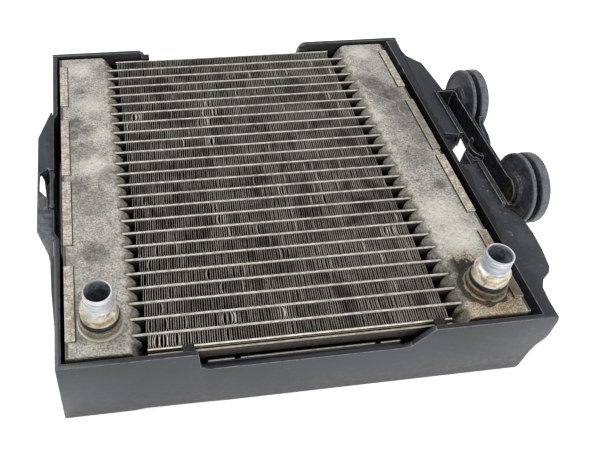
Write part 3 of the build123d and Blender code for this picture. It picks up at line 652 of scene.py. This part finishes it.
def slot_shade_material():
    """Painted shade: a near-black sheet deep in the flange's slot, with faint dust."""
    p = Paint("slot_painted_shade")
    dust = p.grain(2.0, 5.0, 0.7)
    colour = p.blend(p.span(dust, 0.5, 0.75), rgb(9, 9, 10), rgb(34, 33, 32))
    return p.done(colour, p.span(dust, 0.3, 0.7, 0.5, 0.8), 0.0, p.bump(dust, 0.1, strength=0.4))


def arm_material():
    """Grommet arm: near-black, with earth caked at the front end."""
    p, colour, rough, normal = plastic("arm_moulded_plastic", rgb(17, 18, 20), rgb(24, 25, 28), 0.8)
    front = p.span(p.y, -20.0 * MM, -44.0 * MM)
    earth = p.times(front, p.span(p.grain(3.0, 6.0, 0.75, 0.6), 0.46, 0.64, 0.0, 0.55))
    colour = p.blend(earth, colour, rgb(92, 84, 70))
    return p.done(colour, rough, 0.0, normal, Specular_IOR_Level=0.4)


def rubber_material(place):
    """Grommet rubber: dark faces, pale rims that are partly wear and partly painted highlight, and a blotchy
    inner face.
    """
    p = Paint(f"grommet_{place}_rubber")
    lo, hi = box_mm(f"rubber_grommet_{place}")
    axis = (0.0, (lo.y + hi.y) / 2 * MM, (lo.z + hi.z) / 2 * MM)
    away = p.vector("DISTANCE", p.stretched(0, 1, 1), axis)
    mottle = p.grain(2.6, 6.0, 0.75, 0.5)
    colour = p.blend(p.span(mottle, 0.4, 0.7), rgb(38, 39, 43), rgb(70, 72, 77))
    rim_r = (hi.z - lo.z) / 2
    # Pale rims: partly wear, partly painted highlight.
    rim = p.span(away, (rim_r - 1.6) * MM, (rim_r - 0.5) * MM)
    rim = p.times(rim, p.span(p.grain(2.2, 5.0, 0.7), 0.3, 0.64, 0.15, 0.6))
    colour = p.blend(rim, colour, rgb(112, 114, 121))
    dust = p.span(p.grain(5.0, 6.0, 0.75, 1.0), 0.5, 0.7, 0.0, 0.55 if place == "front" else 0.3)
    colour = p.blend(dust, colour, rgb(104, 104, 105))
    pits = p.span(p.grain(1.5, 3.0, 0.5), 0.62, 0.68, 0.0, 0.8 if place == "front" else 0.4)
    colour = p.blend(pits, colour, rgb(8, 8, 9))
    rough = p.span(mottle, 0.3, 0.7, 0.3, 0.56)
    normal = p.bump(p.grain(0.6, 4.0, 0.7), 0.05, strength=0.5)
    normal = p.bump(pits, -0.3, normal, 0.6)
    normal = p.bump(mottle, 0.2, normal, 0.35)
    return p.done(colour, rough, 0.0, normal, Specular_IOR_Level=0.5)


def cap_material():
    """End caps: dull grey aluminium in the shade of the guide."""
    p = Paint("cap_dull_aluminium")
    fine = p.grain(1.2, 5.0, 0.7)
    colour = p.blend(p.span(fine, 0.36, 0.66), rgb(84, 79, 71), rgb(150, 143, 130))
    return p.done(colour, p.span(fine, 0.3, 0.7, 0.5, 0.8), 0.25, p.bump(fine, 0.15, strength=0.6))


def plate_material():
    """Side plates: two bare lip edges on top, dark brown faces and channel."""
    p = Paint("plate_dirty_aluminium")
    fine = p.grain(1.4, 5.0, 0.7, coords=p.stretched(0.4, 1.0, 1.0))
    edge = p.blend(p.span(fine, 0.3, 0.66), rgb(168, 158, 138), rgb(226, 219, 202))
    face = p.blend(p.span(p.grain(2.5, 5.0, 0.7), 0.36, 0.68), rgb(14, 12, 9), rgb(44, 37, 28))
    lips = p.math("MAXIMUM", p.span(p.z, (CORE_TOP - 0.4) * MM, (CORE_TOP - 0.15) * MM),
                  p.times(p.band(p.z, LIP_TOP - 0.2, LIP_TOP + 0.3, 0.1), 0.55))
    colour = p.blend(lips, face, edge)
    return p.done(colour, p.span(fine, 0.3, 0.7, 0.42, 0.68), 0.25, p.bump(fine, 0.1, strength=0.5))


# ---- core ------------------------------------------------------------
FIN_LEG_PITCH = 1.25
FIN_SHEET_T = 0.27
FIN_LEAN = 0.55
FIN_DEPTHS = [0.0, 0.5, 1.2, 2.2, 3.4, 5.2, 9.0, 20.0, 27.5, 30.6]
BEND_REACH = 2.2
# Places where fin legs are knocked over, measured in the same way: x, y, radius and how hard.
KNOCKS = [
    (-39.7, 72.5, 4.0, 1.0), (-38.6, 56.8, 5.0, 1.0), (-42.9, 46.5, 4.5, 0.9), (-43.0, 33.1, 3.5, 0.8),
    (-87.7, 61.7, 3.0, 0.8), (-93.0, -119.9, 5.0, 1.0), (-96.0, -115.9, 4.0, 1.0), (-86.0, -118.0, 5.0, 0.9),
    (-56.7, -114.5, 3.0, 0.8), (-51.7, -106.8, 3.0, 0.7), (-25.9, -113.2, 3.0, 0.7), (-46.5, -40.1, 2.2, 0.7),
    (-5.9, -20.1, 2.2, 0.7), (-74.3, -64.8, 2.2, 0.7), (49.8, -59.8, 4.0, 1.0), (63.4, 32.6, 2.2, 0.7),
    (57.6, 100.5, 2.2, 0.7),
]


def knock_at(x, y):
    """How far the fin edges near a point are knocked over, from 0 to 1."""
    amount = 0.0
    for cx, cy, radius, hard in KNOCKS:
        gap = math.hypot((x - cx) / (1.5 * radius), (y - cy) / max(7.0, radius))
        if gap < 1:
            amount = max(amount, min(1.0, 1.7 * hard * (1 - gap ** 2)))
    return amount


def fin_row(name, x0, x1, y_mid, z1, material, bank):
    """One corrugated strip as a closed sheet, with slight lean, waves and knocked legs."""
    half = FIN_ROW_W / 2
    legs = int((x1 - x0 - 1.0) / FIN_LEG_PITCH)
    start = (x0 + x1 - (legs - 1) * FIN_LEG_PITCH) / 2
    line = []
    for leg in range(legs):
        x = start + leg * FIN_LEG_PITCH
        hit = knock_at(x, y_mid) * random.uniform(0.35, 1.0)
        stray = 0.7 if random.random() < 0.05 else 0.0
        bent = max(hit, stray * random.random())
        lean = random.gauss(0, 0.07)
        bow = random.gauss(0, 0.12)
        push = bent * random.uniform(-1.0, 1.0) * 1.5
        side = 1 if leg % 2 == 0 else -1
        for share in (-1.0, -0.5, 0.0, 0.5, 1.0):
            t = share * side
            dx = side * 0.5 * FIN_LEAN * FIN_LEG_PITCH * share + lean
            dx += bow * (1 - share ** 2)
            line.append((x + dx, y_mid + t * half, push * (1 - share ** 2), bent * (1 - 0.6 * share ** 2)))
    count = len(line)
    normals = []
    for k in range(count):
        ahead, behind = line[min(k + 1, count - 1)], line[max(k - 1, 0)]
        along = Vector((ahead[0] - behind[0], ahead[1] - behind[1])).normalized()
        normals.append(Vector((-along.y, along.x)) * FIN_SHEET_T / 2)
    points, bent_values = [], []
    for layer, depth in enumerate(FIN_DEPTHS):
        fade = math.exp(-depth / BEND_REACH)
        ripple = 0.07 * (-1) ** layer if 0 < layer < len(FIN_DEPTHS) - 1 else 0.0
        for k, (x, y, push, bent) in enumerate(line):
            drop = 0.25 * abs(push) if layer == 0 else 0.0
            wave = 0.12 * noise.noise(Vector((x * 0.6, y_mid, 3.0))) if layer == 0 else 0.0
            z = z1 - depth - drop - max(0.0, wave)
            inset = min(abs(abs(y - y_mid) - half), 1.0)
            for hand in (-1, 1):
                nx, ny = normals[k]
                px = x + push * fade + ripple * inset + hand * nx
                py = min(max(y + hand * ny, y_mid - half), y_mid + half)
                points.append((px, py, z))
                bent_values.append(bent * (1.0 if layer == 0 else 0.8 * fade))
    faces = []
    row = 2 * count
    last = len(FIN_DEPTHS) - 1
    for k in range(count - 1):
        a, b = 2 * k, 2 * k + 2
        faces.append((a, b, b + 1, a + 1))
        deep = last * row
        faces.append((deep + a + 1, deep + b + 1, deep + b, deep + a))
        for layer in range(last):
            u, v = layer * row, (layer + 1) * row
            faces.append((u + a, v + a, v + b, u + b))
            faces.append((u + b + 1, v + b + 1, v + a + 1, u + a + 1))
    for layer in range(last):
        u, v = layer * row, (layer + 1) * row
        end = 2 * count - 2
        faces.append((u, u + 1, v + 1, v))
        faces.append((u + end + 1, u + end, v + end, v + end + 1))
    mesh = bpy.data.meshes.new(name)
    mesh.from_pydata([(x * MM, y * MM, z * MM) for x, y, z in points], [], faces)
    attribute = mesh.attributes.new("bent", "FLOAT", "POINT")
    attribute.data.foreach_set("value", bent_values)
    mesh.update()
    return link(name, mesh, (bank,), material=material)


def build_fins():
    """One strip for each gap between tubes, from the back to the front."""
    material = fin_material()
    number = 1
    for bank in BANKS:
        lo, hi = box_mm(bank)
        for row in range(ROWS_PER_BANK):
            y_mid = hi.y - FIN_ROW_W / 2 - TUBE_PITCH * row
            fin_row(f"fin_row_{number:02d}", lo.x, hi.x, y_mid, hi.z - 0.15, material, bank)
            number += 1


TUBE_EDGE_STEPS = 8
TUBE_LENGTH_STEPS = 72
TUBE_EDGE_DEPTH = 4.0


def build_tubes():
    """Flat tubes with round edges, slightly wavy along their length."""
    material = tube_material()
    for number, node in enumerate(TUBES):
        lo, hi = box_mm(node)
        half_t = (hi.y - lo.y) / 2
        y_mid = (hi.y + lo.y) / 2
        turns = [math.pi * step / TUBE_EDGE_STEPS for step in range(TUBE_EDGE_STEPS + 1)]
        rounding = [(half_t * math.cos(turn), half_t * math.sin(turn)) for turn in turns]
        section = [(y, hi.z - half_t + z) for y, z in rounding]
        section += [(-half_t, hi.z - TUBE_EDGE_DEPTH), (-half_t, lo.z + TUBE_EDGE_DEPTH)]
        section += [(-y, lo.z + half_t - z) for y, z in rounding]
        section += [(half_t, lo.z + TUBE_EDGE_DEPTH), (half_t, hi.z - TUBE_EDGE_DEPTH)]
        rings = TUBE_LENGTH_STEPS + 1
        points = []
        for step in range(rings):
            x = lo.x + (hi.x - lo.x) * step / TUBE_LENGTH_STEPS
            sway = 0.16 * noise.noise(Vector((x * 0.045, number * 3.7, 0.0)))
            nick = 0.1 * noise.noise(Vector((x * 0.35, number * 1.9, 5.0)))
            for y, z in section:
                squeeze = 1.0 - 0.18 * abs(nick) * 5
                dip = 0.12 * max(0.0, nick * 8) if z > hi.z - half_t else 0.0
                keep = max(-half_t, min(half_t, y * squeeze + sway * 0.35))
                points.append((x, y_mid + keep, z - dip))
        faces = ring_faces(rings, len(section), False) + end_faces(rings, len(section))
        mesh = mesh_from(f"tube_{number + 1:02d}", points, faces)
        link(f"tube_{number + 1:02d}", mesh, (node,), material=material)


# ---- tanks -----------------------------------------------------------
DOME_R = 28.7
SCALLOP = 0.9
KNUCKLE = 3.1
FOLD_R = 1.6
TOP_STEPS = 14
DOME_STEPS = 26
ROWS_PER_PITCH = 12


def build_tank(side):
    """Folded tank sheet: flat top, rounded fold with knuckles, and a dome that swells between the tubes."""
    sign = 1 if side == "right" else -1
    lo, hi = box_mm(f"header_tank_{side}")
    outer = hi.x if sign > 0 else lo.x
    apex = lo.x if sign > 0 else hi.x
    z_mid = (lo.z + hi.z) / 2
    half_h = (hi.z - lo.z) / 2
    half_angle = math.asin(half_h / DOME_R)
    width = abs(outer - apex)
    flat_w = width - DOME_R * (1 - math.cos(half_angle)) - FOLD_R
    # Each point of the section: x from the apex, z, then how much swell, knuckle and fold wear it takes.
    flat_x = [width - step / TOP_STEPS * flat_w for step in range(TOP_STEPS)]
    section = [(x, half_h, 0.0, 0.0, 0.0) for x in flat_x]
    for step in range(DOME_STEPS + 1):
        t = step / DOME_STEPS
        angle = half_angle * (1 - 2 * t)
        x = DOME_R * (1 - math.cos(angle))
        z = DOME_R * math.sin(angle)
        away = 1 - abs(1 - 2 * t)
        near_fold = math.exp(-(away * half_angle * DOME_R / FOLD_R) ** 2)
        x += 0.45 * FOLD_R * near_fold
        z -= 0.16 * FOLD_R * near_fold * (1 if z > 0 else -1)
        swell = math.sin(math.pi * min(1.0, away / 0.25) / 2)
        knuckle = math.exp(-((away - 0.3) / 0.2) ** 2) if z > 0 else 0.0
        section.append((x, z, swell, knuckle, 1.0 if near_fold > 0.3 else 0.0))
    section += [(x, -half_h, 0.0, 0.0, 0.0) for x in reversed(flat_x)]
    tube_y = [axis_mm(node)[1] for node in TUBES]
    rows = int(round((hi.y - lo.y) / TUBE_PITCH * ROWS_PER_PITCH))
    points, wear_values = [], []
    for row in range(rows + 1):
        y = lo.y + (hi.y - lo.y) * row / rows
        gap = min(abs(y - t) for t in tube_y) / (TUBE_PITCH / 2)
        inside_core = abs(y) < abs(tube_y[0]) + TUBE_PITCH / 2
        rise = math.sin(math.pi * min(gap, 1.0) / 2)
        bulge = SCALLOP * (rise ** 1.5 - 1.0) if inside_core else -0.5 * SCALLOP
        ridge = KNUCKLE * rise ** 0.8 if inside_core else 0.0
        ridge *= 1 + 0.2 * noise.noise(Vector((y * 0.7, sign, 2.0)))
        for x, z, swell, knuckle, fold in section:
            px = apex + sign * (x - swell * bulge - knuckle * ridge)
            sag = 0.14 * noise.noise(Vector((px * 0.05, y * 0.04, 1.0)))
            sag += 0.05 * noise.noise(Vector((px * 0.25, y * 0.22, 7.0)))
            pz = z_mid + z
            if z > half_h - 2.5:
                pz = min(hi.z, pz - 0.12 + sag)
            points.append((px, y, pz))
            wear_values.append(fold * (0.6 + 0.8 * noise.noise(Vector((y * 0.3, 0, 0)))))
    faces = ring_faces(rows + 1, len(section), False) + end_faces(rows + 1, len(section))
    mesh = mesh_from(f"tank_sheet_{side}", points, faces, 60)
    attribute = mesh.attributes.new("wear", "FLOAT", "POINT")
    attribute.data.foreach_set("value", [max(0.0, w) for w in wear_values])
    link(f"tank_sheet_{side}", mesh, (f"header_tank_{side}",), material=tank_material(side))


SLEEVE_R = 9.7
WAIST_R = 8.2
NECK_H = 9.9
SLEEVE_H = 5.6
SLUDGE_TURNS = 120
SLUDGE_STEPS = 6


def build_nipple(side):
    """Turned nipple with fine steps, and its rubber ring."""
    lo, hi = box_mm(f"coolant_nipple_{side}")
    seal_lo, seal_hi = box_mm(f"nipple_seal_{side}")
    centre = axis_mm(f"coolant_nipple_{side}")
    z0, top = RIM_TOP, hi.z
    foot_r = (hi.x - lo.x) / 2
    collar_r = foot_r - 0.8
    neck_z = top - NECK_H
    shoulder_z = seal_hi.z + SLEEVE_H
    profile = [
        (BORE_R, z0 - 5.8), (WAIST_R, z0 - 5.8), (WAIST_R, z0 + 0.1), (foot_r, z0 + 0.05),
        (foot_r, z0 + 1.0), (collar_r - 0.9, z0 + 1.5), (collar_r - 0.9, z0 + 1.9), (collar_r, z0 + 2.2),
        (collar_r, seal_lo.z - 0.1), (WAIST_R, seal_lo.z), (WAIST_R, seal_hi.z),
        (SLEEVE_R, seal_hi.z + 0.2), (SLEEVE_R, shoulder_z), (WAIST_R + 0.3, neck_z - 0.5),
        (NECK_R + 0.55, neck_z - 0.1), (NECK_R + 0.05, neck_z + 0.35), (NECK_R - 0.12, neck_z + 0.6),
        (NECK_R - 0.12, neck_z + 1.1), (NECK_R, neck_z + 1.4), (NECK_R, top - 2.6),
        (NECK_R - 0.1, top - 2.4), (NECK_R, top - 2.2), (NECK_R, top - 0.4), (NECK_R - 0.35, top),
        (BORE_R + 0.15, top), (BORE_R, top - 0.5),
    ]
    points, faces = lathe(rounded(profile, 0.28), "Z", centre)
    mesh = mesh_from(f"nipple_{side}", points, faces, 50)
    metal = nipple_material(side)
    link(f"nipple_{side}", mesh, (f"coolant_nipple_{side}",), material=metal)
    ring_r = (seal_hi.x - seal_lo.x) / 2 - 0.2
    z0, z1 = seal_lo.z + 0.05, seal_hi.z - 0.05
    ring = [(WAIST_R, z0), (ring_r, z0), (ring_r, z1), (WAIST_R, z1)]
    points, faces = lathe(rounded(ring, 0.85, 5), "Z", centre, 96, 0.2, 3)
    mesh = mesh_from(f"seal_{side}", points, faces, 60)
    link(f"seal_{side}", mesh, (f"nipple_seal_{side}",), material=SEAL)


def build_sludge():
    """Caked grime in the corner between the right nipple's foot and the tank."""
    lo, hi = box_mm("coolant_nipple_right")
    cx, cy = axis_mm("coolant_nipple_right")
    hidden_r = (hi.x - lo.x) / 2 - 0.5
    points = []
    for turn in range(SLUDGE_TURNS):
        angle = 2 * math.pi * turn / SLUDGE_TURNS
        c, s = math.cos(angle), math.sin(angle)
        lump = 0.5 + 0.9 * noise.noise(Vector((c * 2.2, s * 2.2, 0.0))) + 0.5 * max(0.0, -c)
        lump = max(0.12, lump)
        for k in range(SLUDGE_STEPS + 1):
            share = k / SLUDGE_STEPS
            out = hidden_r + share * (0.9 + 2.2 * lump)
            rise = 1.25 * lump * math.cos(share * math.pi / 2) ** 0.8
            rise *= 1 + 0.35 * noise.noise(Vector((c * 9, s * 9, share * 4)))
            points.append((cx + out * c, cy + out * s, RIM_TOP - 0.2 + max(0.0, rise)))
        points.append((cx + hidden_r * c, cy + hidden_r * s, RIM_TOP - 0.5))
    faces = ring_faces(SLUDGE_TURNS, SLUDGE_STEPS + 2, True)
    mesh = mesh_from("sludge_ring", points, faces, 70)
    link("sludge_ring", mesh, material=sludge_material())


# ---- grommets --------------------------------------------------------
PIN_R = 5.05
PIN_HEAD_R = 7.0
PIN_HEAD_DEPTH = 2.0
HUB_R = 10.5
HUB_L = 2.1
GROOVE_R = 14.0


def build_grommet(place):
    """Rubber spool: thin inner disc, groove, thick outer disc with soft rims, hub towards the arm."""
    lo, hi = box_mm(f"rubber_grommet_{place}")
    centre = (0.0, (lo.y + hi.y) / 2, (lo.z + hi.z) / 2)
    disc_r = (hi.z - lo.z) / 2
    x_in = lo.x + HUB_L
    x_out = hi.x
    head_x = x_out - PIN_HEAD_DEPTH
    profile = [
        (PIN_R, lo.x), (HUB_R, lo.x), (HUB_R, x_in), (disc_r - 3.4, x_in + 0.25), (disc_r - 2.6, x_in),
        (disc_r, x_in + 0.1), (disc_r, x_in + 2.3), (disc_r - 2.0, x_in + 2.4), (GROOVE_R, x_in + 2.4),
        (GROOVE_R, x_out - 5.8), (disc_r - 1.5, x_out - 5.8), (disc_r, x_out - 5.4), (disc_r, x_out - 0.5),
        (disc_r - 1.6, x_out), (disc_r - 4.5, x_out - 0.1), (disc_r - 5.2, x_out - 0.9),
        (PIN_HEAD_R + 3.0, x_out - 0.9), (PIN_HEAD_R + 2.2, x_out - 0.1), (PIN_HEAD_R, x_out - 0.1),
        (PIN_HEAD_R, head_x), (PIN_R, head_x),
    ]
    points, faces = lathe(rounded(profile, 0.7), "X", centre, 128)
    mesh = mesh_from(f"grommet_{place}", points, faces, 50)
    link(f"grommet_{place}", mesh, (f"rubber_grommet_{place}",), f"grommet_{place}",
         rubber_material(place))


# ---- guide details ---------------------------------------------------
# Plan outlines of the flange's thin front end and of the near-black sheet of painted shade deep in its slot.
FLANGE_TAIL = [(-143.4, -60.0), (-145.2, -66.0), (-144.7, -85.0), (-143.4, -106.0), (-143.1, -106.0)]
SLOT_SHADE_SHEET = [(-151.3, 27.0), (-146.2, 27.0), (-146.2, -22.0), (-148.6, -22.0), (-149.2, 2.0)]
WEB_OUTER_X = -148.3
FLANGE_DEPTH = 3.0


def tuck_web(place):
    """Keep the web under the left flange clear of the flange's outline."""
    if place.z < (RIM_TOP - FLANGE_DEPTH) * MM and place.x < WEB_OUTER_X * MM:
        place.x = WEB_OUTER_X * MM


def flat_piece(name, outline, z0, z1, material):
    """Flat moulded detail of the guide from its plan outline."""
    count = len(outline)
    points = [(x, y, z) for z in (z0, z1) for x, y in outline]
    faces = ring_faces(2, count, False) + end_faces(2, count)
    link(name, mesh_from(name, points, faces), material=material)


# ---- the object ------------------------------------------------------
SEAL = seal_material()
GUIDE = guide_material()

build_fins()
build_tubes()
for hand in ("left", "right"):
    build_tank(hand)
    build_nipple(hand)
    softened(f"tank_cover_{hand}", 0.3, f"cover_{hand}", tab_material(hand))
build_sludge()
for place in ("back", "front"):
    build_grommet(place)
    softened(f"side_plate_{place}", 0.2, f"core_plate_{place}", plate_material())
softened("air_guide", 0.45, "guide_shell", GUIDE, adjust=tuck_web)
flat_piece("flange_tail", FLANGE_TAIL, RIM_TOP - 2.4, RIM_TOP - 0.05, GUIDE)
# Near-black sheet that paints the shade deep in the flange's slot.
flat_piece("slot_shade_sheet", SLOT_SHADE_SHEET, RIM_TOP - 16.5, RIM_TOP - 14.7, slot_shade_material())
softened("grommet_arm", 0.4, "arm_shell", arm_material())
softened("snap_tongue", 0.3, "tongue_blade", GUIDE, "tongue")

CAP = cap_material()
for name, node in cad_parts.items():
    if name.startswith("end_cap_"):
        node.data.materials.clear()
        node.data.materials.append(CAP)


# ---- floor, lights, camera -------------------------------------------
def floor_material():
    p = Paint("floor_pale_paper")
    soft = p.grain(60.0, 3.0, 0.5)
    colour = p.blend(p.span(soft, 0.3, 0.7), (0.93, 0.93, 0.93, 1), (0.95, 0.95, 0.95, 1))
    return p.done(colour, 0.9, Emission_Color=(1, 1, 1, 1), Emission_Strength=FLOOR_GLOW)


def build_floor():
    corners = [(-1, -1), (1, -1), (1, 1), (-1, 1)]
    mesh = mesh_from("floor", [(x * FLOOR_HALF, y * FLOOR_HALF, 0) for x, y in corners], [(0, 1, 2, 3)])
    mesh.materials.append(floor_material())
    floor = bpy.data.objects.new("floor", mesh)
    bpy.context.scene.collection.objects.link(floor)


def area_light(name, place_m, target_m, size_m, power):
    """Rectangular light that faces its target."""
    data = bpy.data.lights.new(name, "AREA")
    data.shape = "RECTANGLE"
    data.size, data.size_y = size_m
    data.energy = power
    lamp = bpy.data.objects.new(name, data)
    lamp.location = place_m
    lamp.rotation_euler = (Vector(target_m) - Vector(place_m)).to_track_quat("-Z", "Y").to_euler()
    bpy.context.scene.collection.objects.link(lamp)


def build_studio():
    world = bpy.data.worlds.new("studio")
    world.use_nodes = True
    background = world.node_tree.nodes["Background"]
    background.inputs["Color"].default_value = (1, 1, 1, 1)
    background.inputs["Strength"].default_value = WORLD_STRENGTH
    bpy.context.scene.world = world
    for lamp in LAMPS_M:
        area_light(*lamp)
    bpy.context.scene.view_settings.view_transform = "Standard"


def build_camera():
    data = bpy.data.cameras.new("photo_angle")
    data.lens = CAMERA_LENS
    data.sensor_width = CAMERA_SENSOR
    data.shift_x = CAMERA_SHIFT_X
    data.clip_start = CAMERA_CLIP_M
    camera = bpy.data.objects.new("photo_angle", data)
    camera.location = CAMERA_PLACE_M
    camera.rotation_euler = [math.radians(a) for a in CAMERA_TURN_DEG]
    bpy.context.scene.collection.objects.link(camera)
    bpy.context.scene.camera = camera


build_floor()
build_studio()
build_camera()
